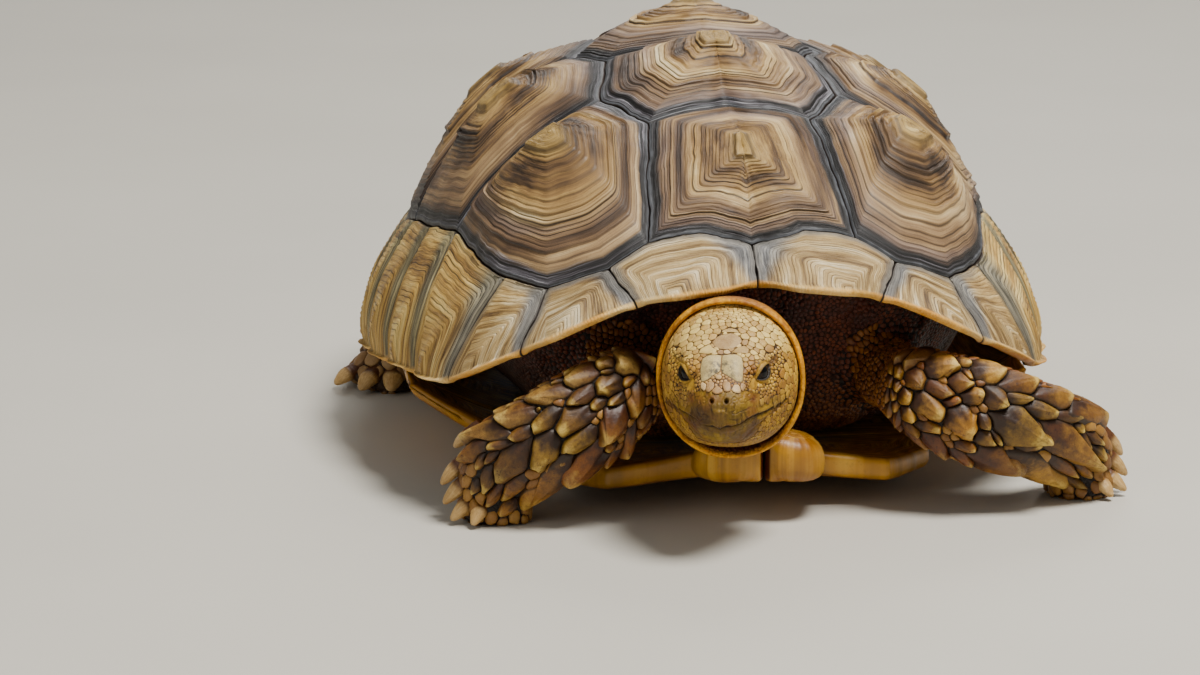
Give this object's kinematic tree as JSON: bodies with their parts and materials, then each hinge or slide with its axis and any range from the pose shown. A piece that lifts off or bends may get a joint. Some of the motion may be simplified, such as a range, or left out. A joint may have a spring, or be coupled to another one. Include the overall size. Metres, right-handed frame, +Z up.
{
  "type": "sulcata tortoise",
  "caption": "African spurred tortoise, life size, resting low with its head half drawn in and scaly front legs spread, as a still museum model.",
  "frame": {"origin": "on the floor, under the middle of the animal's bounding box", "axes": "+Y points from the head to the tail along the longest extent, +X towards the animal's left, +Z up"},
  "size_m": [0.4532, 0.6044, 0.2661],
  "materials": {
    "shell_scute": "satin horn with terraced growth rings, tan growth centres and dark grey-brown seams",
    "rim_scute": "satin horn, tan and brown, with a cream to ochre edge",
    "belly_scute": "glossy yellow-brown horn",
    "skin": "matte brown granular skin under large tan horny scales",
    "head_skin": "satin ochre skin in small polygonal scales with dark grooves",
    "claw": "worn satin horn, tan-brown",
    "eye": "wet, glossy, near black"
  },
  "bodies": {
    "root": {"vertebral_1": "shell_scute", "vertebral_2": "shell_scute", "vertebral_3": "shell_scute", "vertebral_4": "shell_scute", "vertebral_5": "shell_scute", "costal_left_1": "shell_scute", "costal_left_2": "shell_scute", "costal_left_3": "shell_scute", "costal_left_4": "shell_scute", "marginals_front_left": "rim_scute", "marginals_side_left": "rim_scute", "marginals_rear_left": "rim_scute", "costal_right_1": "shell_scute", "costal_right_2": "shell_scute", "costal_right_3": "shell_scute", "costal_right_4": "shell_scute", "marginals_front_right": "rim_scute", "marginals_side_right": "rim_scute", "marginals_rear_right": "rim_scute", "supracaudal": "rim_scute", "plastron_front": "belly_scute", "plastron_middle": "belly_scute", "plastron_rear": "belly_scute", "eye_right": "eye", "eye_left": "eye", "lower_jaw": "head_skin", "head": "head_skin", "neck": "skin", "leg_front_right": "skin", "leg_front_left": "skin", "leg_rear_right": "skin", "leg_rear_left": "skin", "claw_front_right_1": "claw", "claw_front_right_2": "claw", "claw_front_right_3": "claw", "claw_front_right_4": "claw", "claw_front_right_5": "claw", "claw_front_left_1": "claw", "claw_front_left_2": "claw", "claw_front_left_3": "claw", "claw_front_left_4": "claw", "claw_front_left_5": "claw", "claw_rear_right_1": "claw", "claw_rear_right_2": "claw", "claw_rear_right_3": "claw", "claw_rear_right_4": "claw", "claw_rear_left_1": "claw", "claw_rear_left_2": "claw", "claw_rear_left_3": "claw", "claw_rear_left_4": "claw", "tail": "skin", "trunk": "skin", "gular": "belly_scute"}
  },
  "joints": []
}
